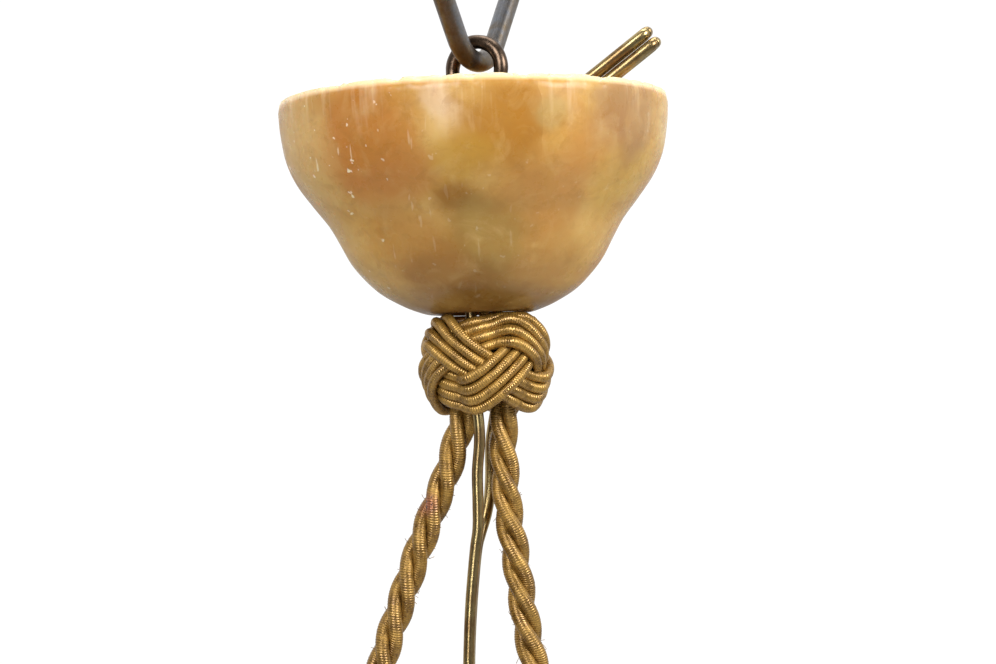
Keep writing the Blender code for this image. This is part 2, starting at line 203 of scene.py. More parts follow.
class Sheets:
    """Collects swept tubes into one mesh, with a UV map: millimetres along the tube, and once round it."""

    def __init__(self):
        self.verts, self.faces, self.uvs, self.caps = [], [], [], []
        self.count = 0

    def tube(self, path, radius, sides=12, closed=False, tilt=0.0):
        """radius: one number, or one for each point. tilt leans each ring, as a wrapping thread does."""
        across, over = transported(path, closed)
        along = tangents(path, closed)
        rings = len(path)
        radius = np.broadcast_to(np.asarray(radius, float), (rings,))
        angle = 2 * np.pi * np.arange(sides) / sides
        ring = (across[:, None] * np.cos(angle)[None, :, None] + over[:, None] * np.sin(angle)[None, :, None])
        verts = path[:, None] + ring * radius[:, None, None]
        verts = verts + along[:, None] * (radius[:, None] * np.sin(angle)[None] * tilt)[:, :, None]
        length = np.concatenate([[0], np.cumsum(np.linalg.norm(np.diff(path, axis=0), axis=1))])
        base = self.count
        self.verts.append(verts.reshape(-1, 3))
        self.count += rings * sides
        last = rings if closed else rings - 1
        i, j = np.meshgrid(np.arange(last), np.arange(sides), indexing="ij")
        i, j = i.ravel(), j.ravel()
        i2, j2 = (i + 1) % rings, (j + 1) % sides
        corners = (i * sides + j, i * sides + j2, i2 * sides + j2, i2 * sides + j)
        self.faces.append(np.column_stack(corners) + base)
        end_length = np.append(length, length[-1] + np.linalg.norm(path[0] - path[-1]))
        u0, u1 = length[i], end_length[i + 1]
        v0, v1 = j / sides, (j + 1) / sides
        corners = ((u0, v0), (u0, v1), (u1, v1), (u1, v0))
        self.uvs.append(np.stack([np.column_stack(corner) for corner in corners], axis=1))
        return self

    def rounded(self, path, radius, sides=12, cap_rings=4, tilt=0.0):
        """An open tube whose two ends are closed by shrinking rings."""
        radius = np.broadcast_to(np.asarray(radius, float), (len(path),)).copy()
        along = tangents(path)
        angle = np.linspace(0, np.pi / 2, cap_rings + 1)[1:]
        head = np.array([path[0] - along[0] * radius[0] * math.sin(a) for a in angle])[::-1]
        foot = np.array([path[-1] + along[-1] * radius[-1] * math.sin(a) for a in angle])
        shrink = np.maximum(np.cos(angle), 0.02)
        whole = np.vstack([head, path, foot])
        sizes = np.concatenate([radius[0] * shrink[::-1], radius, radius[-1] * shrink])
        first = self.count
        self.tube(whole, sizes, sides, tilt=tilt)
        for ring, flip in ((0, True), (len(whole) - 1, False)):
            start = first + ring * sides
            fan = [start + k for k in range(sides)]
            self.caps.append(fan[::-1] if flip else fan)

    def make(self, name):
        verts = np.concatenate(self.verts) * MM
        quads = np.concatenate(self.faces)
        mesh = bpy.data.meshes.new(name)
        loops = np.concatenate([quads.ravel(), np.array([v for cap in self.caps for v in cap], int)])
        sizes = np.concatenate([np.full(len(quads), 4), np.array([len(cap) for cap in self.caps], int)])
        starts = np.concatenate([[0], np.cumsum(sizes)[:-1]])
        mesh.vertices.add(len(verts))
        mesh.vertices.foreach_set("co", verts.astype(np.float32).ravel())
        mesh.loops.add(len(loops))
        mesh.loops.foreach_set("vertex_index", loops.astype(np.int32))
        mesh.polygons.add(len(sizes))
        mesh.polygons.foreach_set("loop_start", starts.astype(np.int32))
        mesh.update(calc_edges=True)
        mesh.validate()
        uv = mesh.uv_layers.new(name="wrap")
        cap_values = np.zeros((len(loops) - 4 * len(quads), 2))
        values = np.concatenate([np.concatenate(self.uvs).reshape(-1, 2), cap_values])
        uv.data.foreach_set("uv", values.astype(np.float32).ravel())
        mesh.shade_smooth()
        obj = bpy.data.objects.new(name, mesh)
        bpy.context.scene.collection.objects.link(obj)
        return obj


def finish_piece(obj, material, body, slot, *nodes):
    obj.data.materials.append(material)
    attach(obj, body)
    if nodes:
        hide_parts(*nodes)
    return obj


# ---------------------------------------------------------------- materials

class Tree:
    """A node tree, with short calls to add to it."""

    def __init__(self, tree):
        self.tree = tree

    def add(self, kind, **settings):
        node = self.tree.nodes.new("ShaderNode" + kind)
        for key, value in settings.items():
            setattr(node, key, value)
        return node

    def join(self, source, target):
        self.tree.links.new(source, target)

    def place(self, scale=(1, 1, 1), rotation=(0, 0, 0)):
        where = self.add("TexCoord")
        mapping = self.add("Mapping")
        mapping.inputs["Scale"].default_value = scale
        mapping.inputs["Rotation"].default_value = rotation
        self.join(where.outputs["Object"], mapping.inputs["Vector"])
        return mapping.outputs["Vector"]

    def noise(self, vector, scale, detail=4, roughness=0.5, distortion=0.0):
        node = self.add("TexNoise")
        for key, value in (("Scale", scale), ("Detail", detail), ("Roughness", roughness),
                           ("Distortion", distortion)):
            node.inputs[key].default_value = value
        self.join(vector, node.inputs["Vector"])
        return node.outputs["Fac"]

    def ramp(self, value, *stops):
        """stops are (position, colour or grey)."""
        node = self.add("ValToRGB")
        elements = node.color_ramp.elements
        while len(elements) < len(stops):
            elements.new(0.5)
        for element, (position, color) in zip(elements, stops):
            element.position = position
            element.color = (*(color if hasattr(color, "__len__") else (color,) * 3), 1)
        self.join(value, node.inputs["Fac"])
        return node.outputs["Color"]

    def split(self, vector):
        node = self.add("SeparateXYZ")
        self.join(vector, node.inputs[0])
        return node.outputs

    def distance(self, vector, point):
        """point is in millimetres."""
        node = self.add("VectorMath", operation="DISTANCE")
        self.join(vector, node.inputs[0])
        node.inputs[1].default_value = point * MM
        return node.outputs["Value"]

    def mix(self, factor, a, b):
        node = self.add("Mix", data_type="RGBA")
        for value, socket in ((factor, node.inputs[0]), (a, node.inputs[6]), (b, node.inputs[7])):
            if isinstance(value, bpy.types.NodeSocket):
                self.join(value, socket)
            else:
                socket.default_value = (*value, 1) if hasattr(value, "__len__") else value
        return node.outputs[2]

    def math(self, operation, *values):
        node = self.add("Math", operation=operation)
        for value, socket in zip(values, node.inputs):
            if isinstance(value, bpy.types.NodeSocket):
                self.join(value, socket)
            else:
                socket.default_value = value
        return node.outputs[0]

    def bump(self, height, distance, strength, normal=None):
        node = self.add("Bump")
        node.inputs["Strength"].default_value = strength
        node.inputs["Distance"].default_value = distance
        self.join(height, node.inputs["Height"])
        if normal:
            self.join(normal, node.inputs["Normal"])
        return node.outputs["Normal"]


class Surface(Tree):
    """A material's tree, with its shader."""

    def __init__(self, name):
        self.material = bpy.data.materials.new(name)
        self.material.use_nodes = True
        super().__init__(self.material.node_tree)
        self.shader = self.tree.nodes["Principled BSDF"]

    def set(self, **values):
        for key, value in values.items():
            self.shader.inputs[key.replace("_", " ")].default_value = value

    def to(self, name, value):
        self.join(value, self.shader.inputs[name])


# A cloud of the stone: its angle from the front towards the right, height above the base, radius, colour
# and strength.
ORANGE_CLOUD = (9, 21.5, 8.0, (0.34, 0.15, 0.022), 0.9)
STONE_CLOUDS = [
    (-34, 20.0, 10.0, (0.44, 0.17, 0.035), 0.85), (-22, 17.5, 6.0, (0.42, 0.18, 0.04), 0.6),
    ORANGE_CLOUD, (-4, 17.8, 5.4, (0.43, 0.24, 0.035), 0.6),
    (-8, 12.8, 3.6, (0.25, 0.10, 0.006), 0.85), (26, 12.5, 8.0, (0.40, 0.19, 0.05), 0.7),
    (40, 18.0, 7.0, (0.46, 0.22, 0.06), 0.7), (58, 16.5, 7.0, (0.52, 0.33, 0.085), 0.75),
    (50, 23.5, 8.0, (0.31, 0.17, 0.075), 0.8), (-8, 24.8, 3.6, (0.60, 0.43, 0.28), 0.5),
    (21, 23.0, 4.0, (0.38, 0.27, 0.10), 0.6), (-62, 19.0, 9.0, (0.58, 0.37, 0.13), 0.7),
    (-30, 8.0, 7.0, (0.40, 0.20, 0.05), 0.7), (4, 8.5, 7.5, (0.26, 0.16, 0.04), 0.75),
    (-18, 4.5, 6.5, (0.24, 0.10, 0.016), 0.6), (5, 2.5, 6.5, (0.20, 0.085, 0.008), 0.7),
    (34, 5.0, 6.0, (0.36, 0.19, 0.055), 0.6),
    (110, 18.0, 11.0, (0.48, 0.22, 0.05), 0.7), (150, 11.0, 9.0, (0.44, 0.20, 0.045), 0.7),
    (185, 20.0, 10.0, (0.58, 0.36, 0.12), 0.7), (222, 10.0, 8.0, (0.40, 0.18, 0.04), 0.6),
    (250, 20.0, 9.0, (0.47, 0.21, 0.045), 0.7), (285, 9.0, 7.0, (0.55, 0.34, 0.10), 0.6),
]
CRACK_X = 9.3               # where a crack stops the orange cloud
CLOUD_WARP = 9.0            # how far a noise moves the clouds' edges
CLOUD_CORE, CLOUD_EDGE = 0.35, 1.15     # of a cloud's radius, where it starts to fade and where it ends
STONE_DARK, STONE_MIDDLE, STONE_LIGHT = (0.42, 0.20, 0.045), (0.49, 0.28, 0.072), (0.56, 0.36, 0.12)
MOTTLE_COLOR = (0.30, 0.14, 0.03)
VEIL_COLOR = (0.62, 0.42, 0.17)
STREAK_COLOR = (0.76, 0.60, 0.38)
RIM_GLOW_COLOR = (0.84, 0.68, 0.42)
FOOT_SHADE_COLOR = (0.15, 0.06, 0.008)
SPECK_COLOR = (0.90, 0.80, 0.62)
SCRATCH_COLOR = (0.88, 0.76, 0.55)
STREAK_DEPTH = 8.0          # below the rim
RIM_DEPTH = 4.0
CUP_WIDTH = 50.0


def add_clouds(n, color, place, low, x):
    shift = n.add("TexNoise")
    n.join(place, shift.inputs["Vector"])
    shift.inputs["Scale"].default_value = 110
    shift.inputs["Detail"].default_value = 4
    warped = n.add("VectorMath", operation="MULTIPLY_ADD")
    n.join(shift.outputs["Color"], warped.inputs[0])
    warped.inputs[1].default_value = (CLOUD_WARP * MM,) * 3
    n.join(place, warped.inputs[2])
    before_crack = n.math("LESS_THAN", n.math("MULTIPLY_ADD", low, 0.004, x), CRACK_X * MM)
    heights, radii = zip(*CUP_OUTER[::-1])
    for cloud in STONE_CLOUDS:
        angle, height, size, tint, strength = cloud
        turn = math.radians(angle)
        out = float(np.interp(height, heights, radii))
        centre = RIM_CENTRE + (out * math.sin(turn), -out * math.cos(turn), height - CUP_HEIGHT)
        fade = n.add("MapRange", interpolation_type="SMOOTHERSTEP")
        # The warp's noise is 0.5 on average, so the centre moves by half of the warp.
        n.join(n.distance(warped.outputs[0], centre + CLOUD_WARP / 2), fade.inputs["Value"])
        limits = (size * CLOUD_CORE * MM, size * CLOUD_EDGE * MM, strength, 0.0)
        for socket, value in enumerate(limits, 1):
            fade.inputs[socket].default_value = value
        amount = fade.outputs[0]
        if cloud is ORANGE_CLOUD:
            amount = n.math("MULTIPLY", amount, before_crack)
        color = n.mix(amount, color, tint)
    return color


def add_rim_and_foot(n, color, below):
    """Pale streaks near the rim, a painted glow along the rim's edge and painted shade at the foot. below is
    the depth below the rim, in metres.
    """
    streak = n.noise(n.place(scale=(1, 1, 0.08)), 520, 3, 0.6)
    depth = n.math("MULTIPLY", below, 1 / (STREAK_DEPTH * MM))
    streak = n.ramp(streak, (0.52, 0.0), (0.70, 0.5))
    near_rim = n.math("MULTIPLY", n.ramp(depth, (0.0, 1.0), (0.9, 0.0)), streak)
    color = n.mix(near_rim, color, STREAK_COLOR)
    # Painted light: a pale band along the thin rim's edge, in place of the light that comes through the stone
    # from above and behind.
    rim = n.ramp(n.math("MULTIPLY", below, 1 / (RIM_DEPTH * MM)), (0.02, 0.7), (0.16, 0.0))
    color = n.mix(rim, color, RIM_GLOW_COLOR)
    # Painted shade: the stone darkens towards its foot, where the knot and the cup's underside shade it.
    foot = n.ramp(n.math("MULTIPLY", below, 1 / (CUP_HEIGHT * MM)), (0.86, 0.0), (1.0, 0.6))
    return n.mix(foot, color, FOOT_SHADE_COLOR)


def add_specks_and_scratches(n, color, place, x):
    """Most of them are on the left."""
    left = n.ramp(n.math("MULTIPLY_ADD", x, 1 / (CUP_WIDTH * MM), 0.5), (0.12, 1.0), (0.40, 0.15))
    speck = n.ramp(n.noise(place, 800, 2, 0.5), (0.70, 0.0), (0.73, 0.85))
    color = n.mix(n.math("MULTIPLY", speck, left), color, SPECK_COLOR)
    scratch = n.noise(n.place(scale=(1.0, 0.3, 0.10), rotation=(0.2, 0.75, 0.1)), 1100, 2, 0.5)
    scratch = n.ramp(scratch, (0.69, 0.0), (0.72, 0.5))
    return n.mix(n.math("MULTIPLY", scratch, left), color, SCRATCH_COLOR)


def onyx():
    n = Surface("onyx")
    place = n.place()
    low = n.noise(place, 95, 4, 0.55)
    x, _, z = n.split(place)
    color = n.ramp(low, (0.33, STONE_DARK), (0.5, STONE_MIDDLE), (0.68, STONE_LIGHT))
    color = add_clouds(n, color, place, low, x)
    mottle = n.noise(n.place(scale=(1, 1, 1.3), rotation=(0.3, 0.8, 0.1)), 420, 6, 0.68, 0.6)
    color = n.mix(n.ramp(mottle, (0.36, 0.32), (0.5, 0.0)), color, MOTTLE_COLOR)
    veil = n.noise(n.place(scale=(1, 1, 0.7), rotation=(0.9, 0.5, 0.3)), 240, 5, 0.62, 1.2)
    color = n.mix(n.ramp(veil, (0.52, 0.0), (0.76, 0.3)), color, VEIL_COLOR)
    color = add_rim_and_foot(n, color, n.math("SUBTRACT", RIM_CENTRE[2] * MM, z))
    color = add_specks_and_scratches(n, color, place, x)
    n.to("Base Color", color)
    pits = n.noise(place, 900, 3, 0.6)
    n.to("Roughness", n.ramp(n.noise(place, 320, 4, 0.6), (0.4, 0.24), (0.68, 0.38)))
    n.to("Normal", n.bump(low, 0.0005, 0.2, n.bump(pits, 0.00003, 0.35)))
    n.set(Subsurface_Weight=0.35, Subsurface_Scale=0.003, IOR=1.5, Subsurface_Radius=(1.0, 0.6, 0.3))
    n.set(Specular_IOR_Level=0.2, Coat_Weight=0.06, Coat_Roughness=0.15)
    return n.material


WORN_PLACE = (-8.3, -1.3, -51.6)        # in the drop's own frame, on the left tail
WORN_RADIUS = 1.0
WORN_COLOR = (0.40, 0.13, 0.07)
SOOT_COLOR = (0.02, 0.015, 0.012)
RIB = 0.3                   # width of one turn of the wrapping thread in the materials and on the gimp


def gimp(name, light, dark, gloss, worn=False):
    """Thread-wrapped cord: the thread's turns lie across it, its lustre changes from turn to turn, and the
    grooves between turns get painted shade.
    """
    n = Surface(name)
    uv = n.add("UVMap", uv_map="wrap")
    length, around, _ = n.split(uv.outputs[0])
    lean = n.math("MULTIPLY_ADD", around, RIB, length)
    wave = n.math("SINE", n.math("MULTIPLY", lean, 2 * math.pi / RIB))
    crest = n.math("MULTIPLY_ADD", wave, 0.5, 0.5)
    number = n.math("FLOOR", n.math("DIVIDE", lean, RIB))
    chance = n.add("TexWhiteNoise", noise_dimensions="1D")
    n.join(number, chance.inputs["W"])
    patch = n.ramp(n.noise(n.place(), 520, 4, 0.6), (0.36, 0.0), (0.64, 1.0))
    fibre = n.noise(n.place(), 5200, 2, 0.6)
    amount = n.math("MULTIPLY_ADD", chance.outputs["Value"], 0.25, n.math("MULTIPLY", patch, 0.75))
    color = n.mix(amount, dark, light)
    # Painted shade: the grooves between the thread's turns are darkened.
    color = n.mix(n.math("MULTIPLY_ADD", crest, -0.35, 0.35), color, tuple(c * 0.35 for c in dark))
    color = n.mix(n.ramp(fibre, (0.35, 0.0), (0.7, 0.35)), color, tuple(c * 1.5 for c in light))
    if worn:
        place = n.place()
        distance = n.distance(place, DROP_ORIGIN + WORN_PLACE)
        near = n.ramp(n.math("MULTIPLY", distance, 1 / (2 * WORN_RADIUS * MM)), (0.3, 1.0), (1.0, 0.0))
        color = n.mix(n.math("MULTIPLY", near, 0.75), color, WORN_COLOR)
        soot = n.ramp(n.noise(place, 1500, 3, 0.6), (0.52, 0.0), (0.58, 1.0))
        color = n.mix(n.math("MULTIPLY", near, soot), color, SOOT_COLOR)
    n.to("Base Color", color)
    n.to("Roughness", n.ramp(patch, (0.3, gloss), (0.7, gloss + 0.14)))
    n.to("Normal", n.bump(fibre, 0.00002, 0.5, n.bump(crest, 0.00006, 0.7)))
    n.set(Specular_IOR_Level=0.9, Metallic=0.55)
    return n.material


def metal(name, clean, tarnish, share, roughness, drawn=0.0, pits=0.0, spots=0.35):
    """share is how much of the surface the tarnish covers, drawn how deep the lines along the wire are."""
    n = Surface(name)
    place = n.place()
    cloud = n.noise(place, 260, 5, 0.62, 0.4)
    grain = n.noise(place, 2600, 3, 0.6)
    edge = 1 - share
    spread = n.ramp(cloud, (edge - 0.16, 0.0), (edge + 0.14, 1.0))
    color = n.mix(spread, clean, tarnish)
    color = n.mix(n.ramp(grain, (0.4, 0.0), (0.75, spots)), color, tuple(c * 0.5 for c in tarnish))
    n.to("Base Color", color)
    low, high = roughness
    n.to("Roughness", n.ramp(n.mix(0.5, cloud, grain), (0.3, low), (0.65, high)))
    normal = n.bump(grain, 0.00002, 0.04 + pits)
    if drawn:
        uv = n.add("UVMap", uv_map="wrap")
        stretch = n.add("Mapping")
        stretch.inputs["Scale"].default_value = (0.1, 4, 1)
        n.join(uv.outputs[0], stretch.inputs["Vector"])
        normal = n.bump(n.noise(stretch.outputs[0], 3, 2, 0.5), 0.00002, drawn, normal)
    n.to("Normal", normal)
    n.set(Metallic=1.0)
    return n.material


def wood():
    n = Surface("core_wood")
    grain = n.noise(n.place(scale=(1, 1, 0.12)), 900, 4, 0.6, 0.5)
    n.to("Base Color", n.ramp(grain, (0.35, (0.28, 0.16, 0.07)), (0.65, (0.50, 0.33, 0.18))))
    n.set(Roughness=0.7)
    n.to("Normal", n.bump(grain, 0.00005, 0.5))
    return n.material


# ---------------------------------------------------------------- ribbed cords

ROPE_RIB = 0.31             # width of one turn of the wrapping thread on the ropes
RIB_TILT = 0.16
PLIES = 3
PLY = 1.84
PLY_OFFSET = 1.0            # from the rope's middle
LAY = 15.0                  # length of a rope in which a ply goes round once
CORD_STEP = 0.1             # between the rings of a cord's mesh
FUZZ_COUNT = {"left": 260, "right": 110}
FUZZ_RADIUS = 0.035
FUZZ_SPAN = (0.16, 0.97)    # of the rope's length
FUZZ_REACH = (0.2, 0.55)
FUZZ_ROOT = 0.44            # of the rope's diameter


def ribbed_radius(path, radius, rib, depth, seed):
    """A radius for each point of an even path: a small ridge for each turn of the wrapping thread."""
    step = np.linalg.norm(path[1] - path[0])
    turns = np.arange(len(path)) * step / rib
    count = int(turns[-1]) + 3
    uneven = np.interp(turns, np.arange(count), random_values(count, seed))
    return radius + depth * np.cos(2 * np.pi * turns) * (1 + 0.4 * uneven) + 0.25 * depth * uneven


def laid_rope(sheets, path, seed, phase=0.0, ply=PLY, offset=PLY_OFFSET, sides=12):
    """Strands of wrapped cord laid round each other along a path, slanting like the middle of an S."""
    line = even_path(smooth_path(path, 0.5), CORD_STEP)
    along = tangents(line)
    back = normalized(np.array((0, 1, 0)) - along * along[:, 1:2])
    right = np.cross(along, back)
    length = np.arange(len(line)) * np.linalg.norm(line[1] - line[0])
    for k in range(PLIES):
        angle = 2 * np.pi * length / LAY + phase + 2 * np.pi * k / PLIES
        strand = line + offset * (right * np.sin(angle)[:, None] - back * np.cos(angle)[:, None])
        strand = even_path(strand, CORD_STEP)
        radius = ribbed_radius(strand, ply / 2, ROPE_RIB, 0.024, seed + k)
        sheets.rounded(strand, radius, sides, tilt=RIB_TILT)
    return line


def add_fuzz(sheets, line, count, seed):
    """Short loose fibres that stand out of a rope."""
    along = tangents(line)
    rng = np.random.default_rng(seed)
    for _ in range(count):
        k = int(rng.uniform(*FUZZ_SPAN) * len(line))
        around = rng.uniform(0, 2 * np.pi)
        across = normalized(np.cross(along[k], (0.0, 1.0, 0.0)))
        out = across * math.cos(around) + np.cross(along[k], across) * math.sin(around)
        lean = along[k] * rng.uniform(-1.2, 1.2) + normalized(rng.normal(size=3)) * 0.4
        reach = rng.uniform(*FUZZ_REACH)
        root = line[k] + out * ROPE * FUZZ_ROOT
        steps = np.linspace(0, 1, 4)[:, None]
        hair = root + reach * (steps * out + steps ** 2 * lean)
        sheets.rounded(hair, FUZZ_RADIUS, sides=4, cap_rings=1)


# ---------------------------------------------------------------- hook and ring

def arc(radius, centre_height, start, end, step=3):
    count = max(2, round(abs(end - start) / step))
    angles = np.radians(np.linspace(start, end, count + 1))
    return [(radius * math.cos(a), centre_height + radius * math.sin(a)) for a in angles]


def make_hook(material):
    arm = math.radians(HOOK_ARM_ANGLE)
    rise = (HOOK_CROOK_RADIUS - HOOK_BOTTOM_RADIUS) * math.tan(arm)
    crook = HOOK_BOTTOM_RADIUS * (1 - math.cos(arm)) + rise * math.sin(arm) + HOOK_CROOK_RADIUS * math.cos(arm)
    bend = 90 - HOOK_ARM_ANGLE
    outline = arc(HOOK_CROOK_RADIUS, crook, HOOK_NEAR_END, 180 + bend)
    outline += arc(HOOK_BOTTOM_RADIUS, HOOK_BOTTOM_RADIUS, 180 + bend, 360 - bend)
    outline += arc(HOOK_CROOK_RADIUS, crook, -bend, HOOK_CROOK_END)
    path = np.array([HOOK_DIRECTION * across + UP * (HOOK_BOTTOM_Z + up) for across, up in outline])
    path = even_path(path, 0.4)
    sheets = Sheets()
    radius = HOOK_WIRE / 2 * (1 + 0.006 * random_values(len(path), 5))
    sheets.rounded(path, np.convolve(np.pad(radius, 3, "edge"), np.ones(7) / 7, "valid"), 28, 6)
    return finish_piece(sheets.make("hook_wire"), material, "hook", "hook_steel", "hanger_hook")


def make_ring(material):
    centre = UP * (RING_BOTTOM_Z + RING_CENTRE_RADIUS)
    side = np.cross(UP, HOOK_DIRECTION)
    angles = np.linspace(0, 2 * np.pi, 121)[:-1]
    wobble = 1 + 0.004 * np.sin(3 * angles + 1) + 0.003 * np.sin(5 * angles)
    path = np.array([centre + RING_CENTRE_RADIUS * w * (side * math.sin(a) - UP * math.cos(a))
                     for a, w in zip(angles, wobble)])
    radius = RING_WIRE / 2 * (1 + 0.012 * np.sin(7 * angles + 0.5) + 0.01 * np.sin(11 * angles))
    return finish_piece(Sheets().tube(path, radius, 28, closed=True).make("ring_wire"),
                        material, "ring", "ring_bronze", "hanging_ring")


# ---------------------------------------------------------------- cup

def turned(name, radii, heights, base):
    """A closed ring. Each row of radii and heights goes once round; the rows go down outside and up inside."""
    rows, sides = radii.shape
    angles = 2 * np.pi * np.arange(sides) / sides
    verts = np.stack([radii * np.cos(angles), radii * np.sin(angles), heights], axis=2) + base
    i, j = np.meshgrid(np.arange(rows), np.arange(sides), indexing="ij")
    i, j = i.ravel(), j.ravel()
    i2, j2 = (i + 1) % rows, (j + 1) % sides
    faces = np.column_stack([i * sides + j, i2 * sides + j, i2 * sides + j2, i * sides + j2])
    mesh = bpy.data.meshes.new(name)
    mesh.from_pydata((verts.reshape(-1, 3) * MM).tolist(), [], faces.tolist())
    mesh.shade_smooth()
    obj = bpy.data.objects.new(name, mesh)
    bpy.context.scene.collection.objects.link(obj)
    return obj


RIM_EXTRA = 0.4             # how far the roughly cut rim's crests stand above its flat
RIM_BAND = 1.6              # height of the band that is cut roughly
CHIP_DEPTH = 0.75           # down from the crests
CHIP_WEAR = 0.16            # inwards
SWELL = 0.16                # of the hand-turned wall
CUP_SIDES = 480


def make_cup(material):
    rim_outside = [(CUP_HEIGHT, 24.45), (CUP_HEIGHT - 0.12, 24.9)]
    rim_inside = [(CUP_HEIGHT - 0.1, 23.0), (CUP_HEIGHT, 23.7)]
    outer = smooth_path([(h, r, 0) for h, r in CUP_OUTER], 0.5)[:, :2]
    inner = smooth_path([(h, r, 0) for h, r in CUP_INNER], 0.8)[:, :2]
    hole = [(0.0, CUP_HOLE_RADIUS + 0.3), (0.3, CUP_HOLE_RADIUS), (2.0, CUP_HOLE_RADIUS),
            (CUP_INNER[0][0] - 0.4, CUP_HOLE_RADIUS), (CUP_INNER[0][0], CUP_HOLE_RADIUS + 0.4),
            (CUP_INNER[0][0], 6.4)]
    profile = np.vstack([rim_outside, outer, hole, inner, rim_inside])
    angles = 2 * np.pi * np.arange(CUP_SIDES) / CUP_SIDES
    heights, radii = (np.repeat(profile[:, k][:, None], CUP_SIDES, 1) for k in (0, 1))
    for i in range(len(profile)):
        for j in range(CUP_SIDES):
            x, y = radii[i, j] * math.cos(angles[j]), radii[i, j] * math.sin(angles[j])
            z = heights[i, j]
            soft = noise.noise(Vector((x, y, z)) / 13) * SWELL
            near_rim = max(0.0, 1 - (CUP_HEIGHT - z) / RIM_BAND)
            chip = noise.noise(Vector((x, y, 5)) / 2.4) + 0.6 * noise.noise(Vector((x, y, 9)) / 0.8)
            heights[i, j] += near_rim * RIM_EXTRA
            heights[i, j] -= near_rim * max(0.0, chip + 0.05) * CHIP_DEPTH
            if radii[i, j] > CUP_HOLE_RADIUS + 1:
                radii[i, j] += soft * min(1.0, z / 4)
                radii[i, j] -= near_rim * max(0.0, chip) * CHIP_WEAR
    obj = turned("cup_stone", radii, heights, RIM_CENTRE - UP * CUP_HEIGHT)
    return finish_piece(obj, material, "cup", "onyx", "stone_cup")


# ---------------------------------------------------------------- cords inside the cup and the knot

def make_loop(material):
    top = UP * RING_BOTTOM_Z
    bottom = DROP_ORIGIN + UP * BIGHT_CROWN
    top_half = RING_WIRE / 2 + GAP + GIMP / 2
    bottom_half = ROPE / 2 + GAP + GIMP / 2
    hook_angle = math.atan2(HOOK_DIRECTION[1], HOOK_DIRECTION[0])
    turn = math.pi / 2 - hook_angle

    def across(part):
        angle = math.pi / 2 - turn * part
        return np.array((math.cos(angle), math.sin(angle), 0))

    def leg(side, parts):
        points = []
        for part in parts:
            eased = part * part * (3 - 2 * part)
            half = bottom_half + (top_half - bottom_half) * eased
            points.append(bottom + (top - bottom) * part + across(eased) * half * side)
        return points

    def bend(centre, half, part, side, rise):
        return [centre + across(part) * half * side * math.cos(a) + UP * rise * half * math.sin(a)
                for a in np.linspace(0, math.pi, 9)[1:-1]]

    path = leg(-1, np.linspace(0, 1, 11)) + bend(top, top_half, 1, -1, 1)
    path += leg(1, np.linspace(1, 0, 11)) + bend(bottom, bottom_half, 0, 1, -1)
    line = even_path(smooth_path(path, 0.5, closed=True), CORD_STEP, closed=True)
    radius = ribbed_radius(line, GIMP / 2, RIB, 0.025, 11)
    return finish_piece(Sheets().tube(line, radius, 12, closed=True, tilt=RIB_TILT).make("loop_cord"),
                        material, "drop", "gold_gimp", "suspension_loop")


def make_bight(material):
    centre = BIGHT_CROWN - BIGHT_HALF
    outline = [(-BIGHT_HALF, BIGHT_END), (-BIGHT_HALF, BIGHT_END + 2.5)]
    outline += arc(BIGHT_HALF, centre, 180, 0, 15) + [(BIGHT_HALF, BIGHT_END + 2.5), (BIGHT_HALF, BIGHT_END)]
    sheets = Sheets()
    laid_rope(sheets, in_drop([(x, 0, z) for x, z in outline]), seed=30, ply=1.7, offset=0.93, sides=10)
    return finish_piece(sheets.make("bight_rope"), material, "drop", "gold_rope", "rope_bight")


# ---------------------------------------------------------------- knot

KNOT_SKIN = [               # height below the cup and radius, midway between the under layer and the over layer
    (-0.55, 5.3), (-1.3, 6.45), (-2.6, 7.2), (-4.4, 7.4), (-6.4, 7.5), (-8.3, 7.2), (-9.9, 6.65),
    (-11.2, 5.95), (-12.2, 5.3),
]
KNOT_PLIES = 4
KNOT_RADIUS = 7.5
KNOT_PASS_PITCH = 1.24      # between neighbouring cords where they run up or down
KNOT_BIGHT_PITCH = 1.42     # and where they turn back
KNOT_START = -82.5          # turned from the front towards the right
KNOT_SKEW = 0.30            # how far the cords' turns are shifted from a plain wave's, so that they rise late
KNOT_CLEAR = 0.06           # from the cup's foot
KNOT_POINTS = 252           # of each cord, in three times round
KNOT_LEADS = 3
KNOT_BIGHTS = 4
KNOT_SKIN_STEP = 0.05
KNOT_TOUCH = 0.97           # of a cord's thickness, which is how closely cords lie on each other
LIFT_ROUNDS = 400
STIFFNESS = 0.35
TIGHTNESS = 0.985
GIVE = 0.9                  # how much of what is missing between two cords one round makes up for


def knot_skin():
    """Radius, height and outward direction along the knot's skin, by the distance along it from its middle."""
    line = even_path(smooth_path([(r, 0, h) for h, r in KNOT_SKIN], 0.1), KNOT_SKIN_STEP)
    distance = np.linspace(0, KNOT_SKIN_STEP * (len(line) - 1), len(line))
    distance = distance[-1] / 2 - distance
    ahead = normalized(np.gradient(line, axis=0))
    return distance[::-1], line[::-1, 0], line[::-1, 2] - CUP_HEIGHT, -ahead[::-1, 2], ahead[::-1, 0]


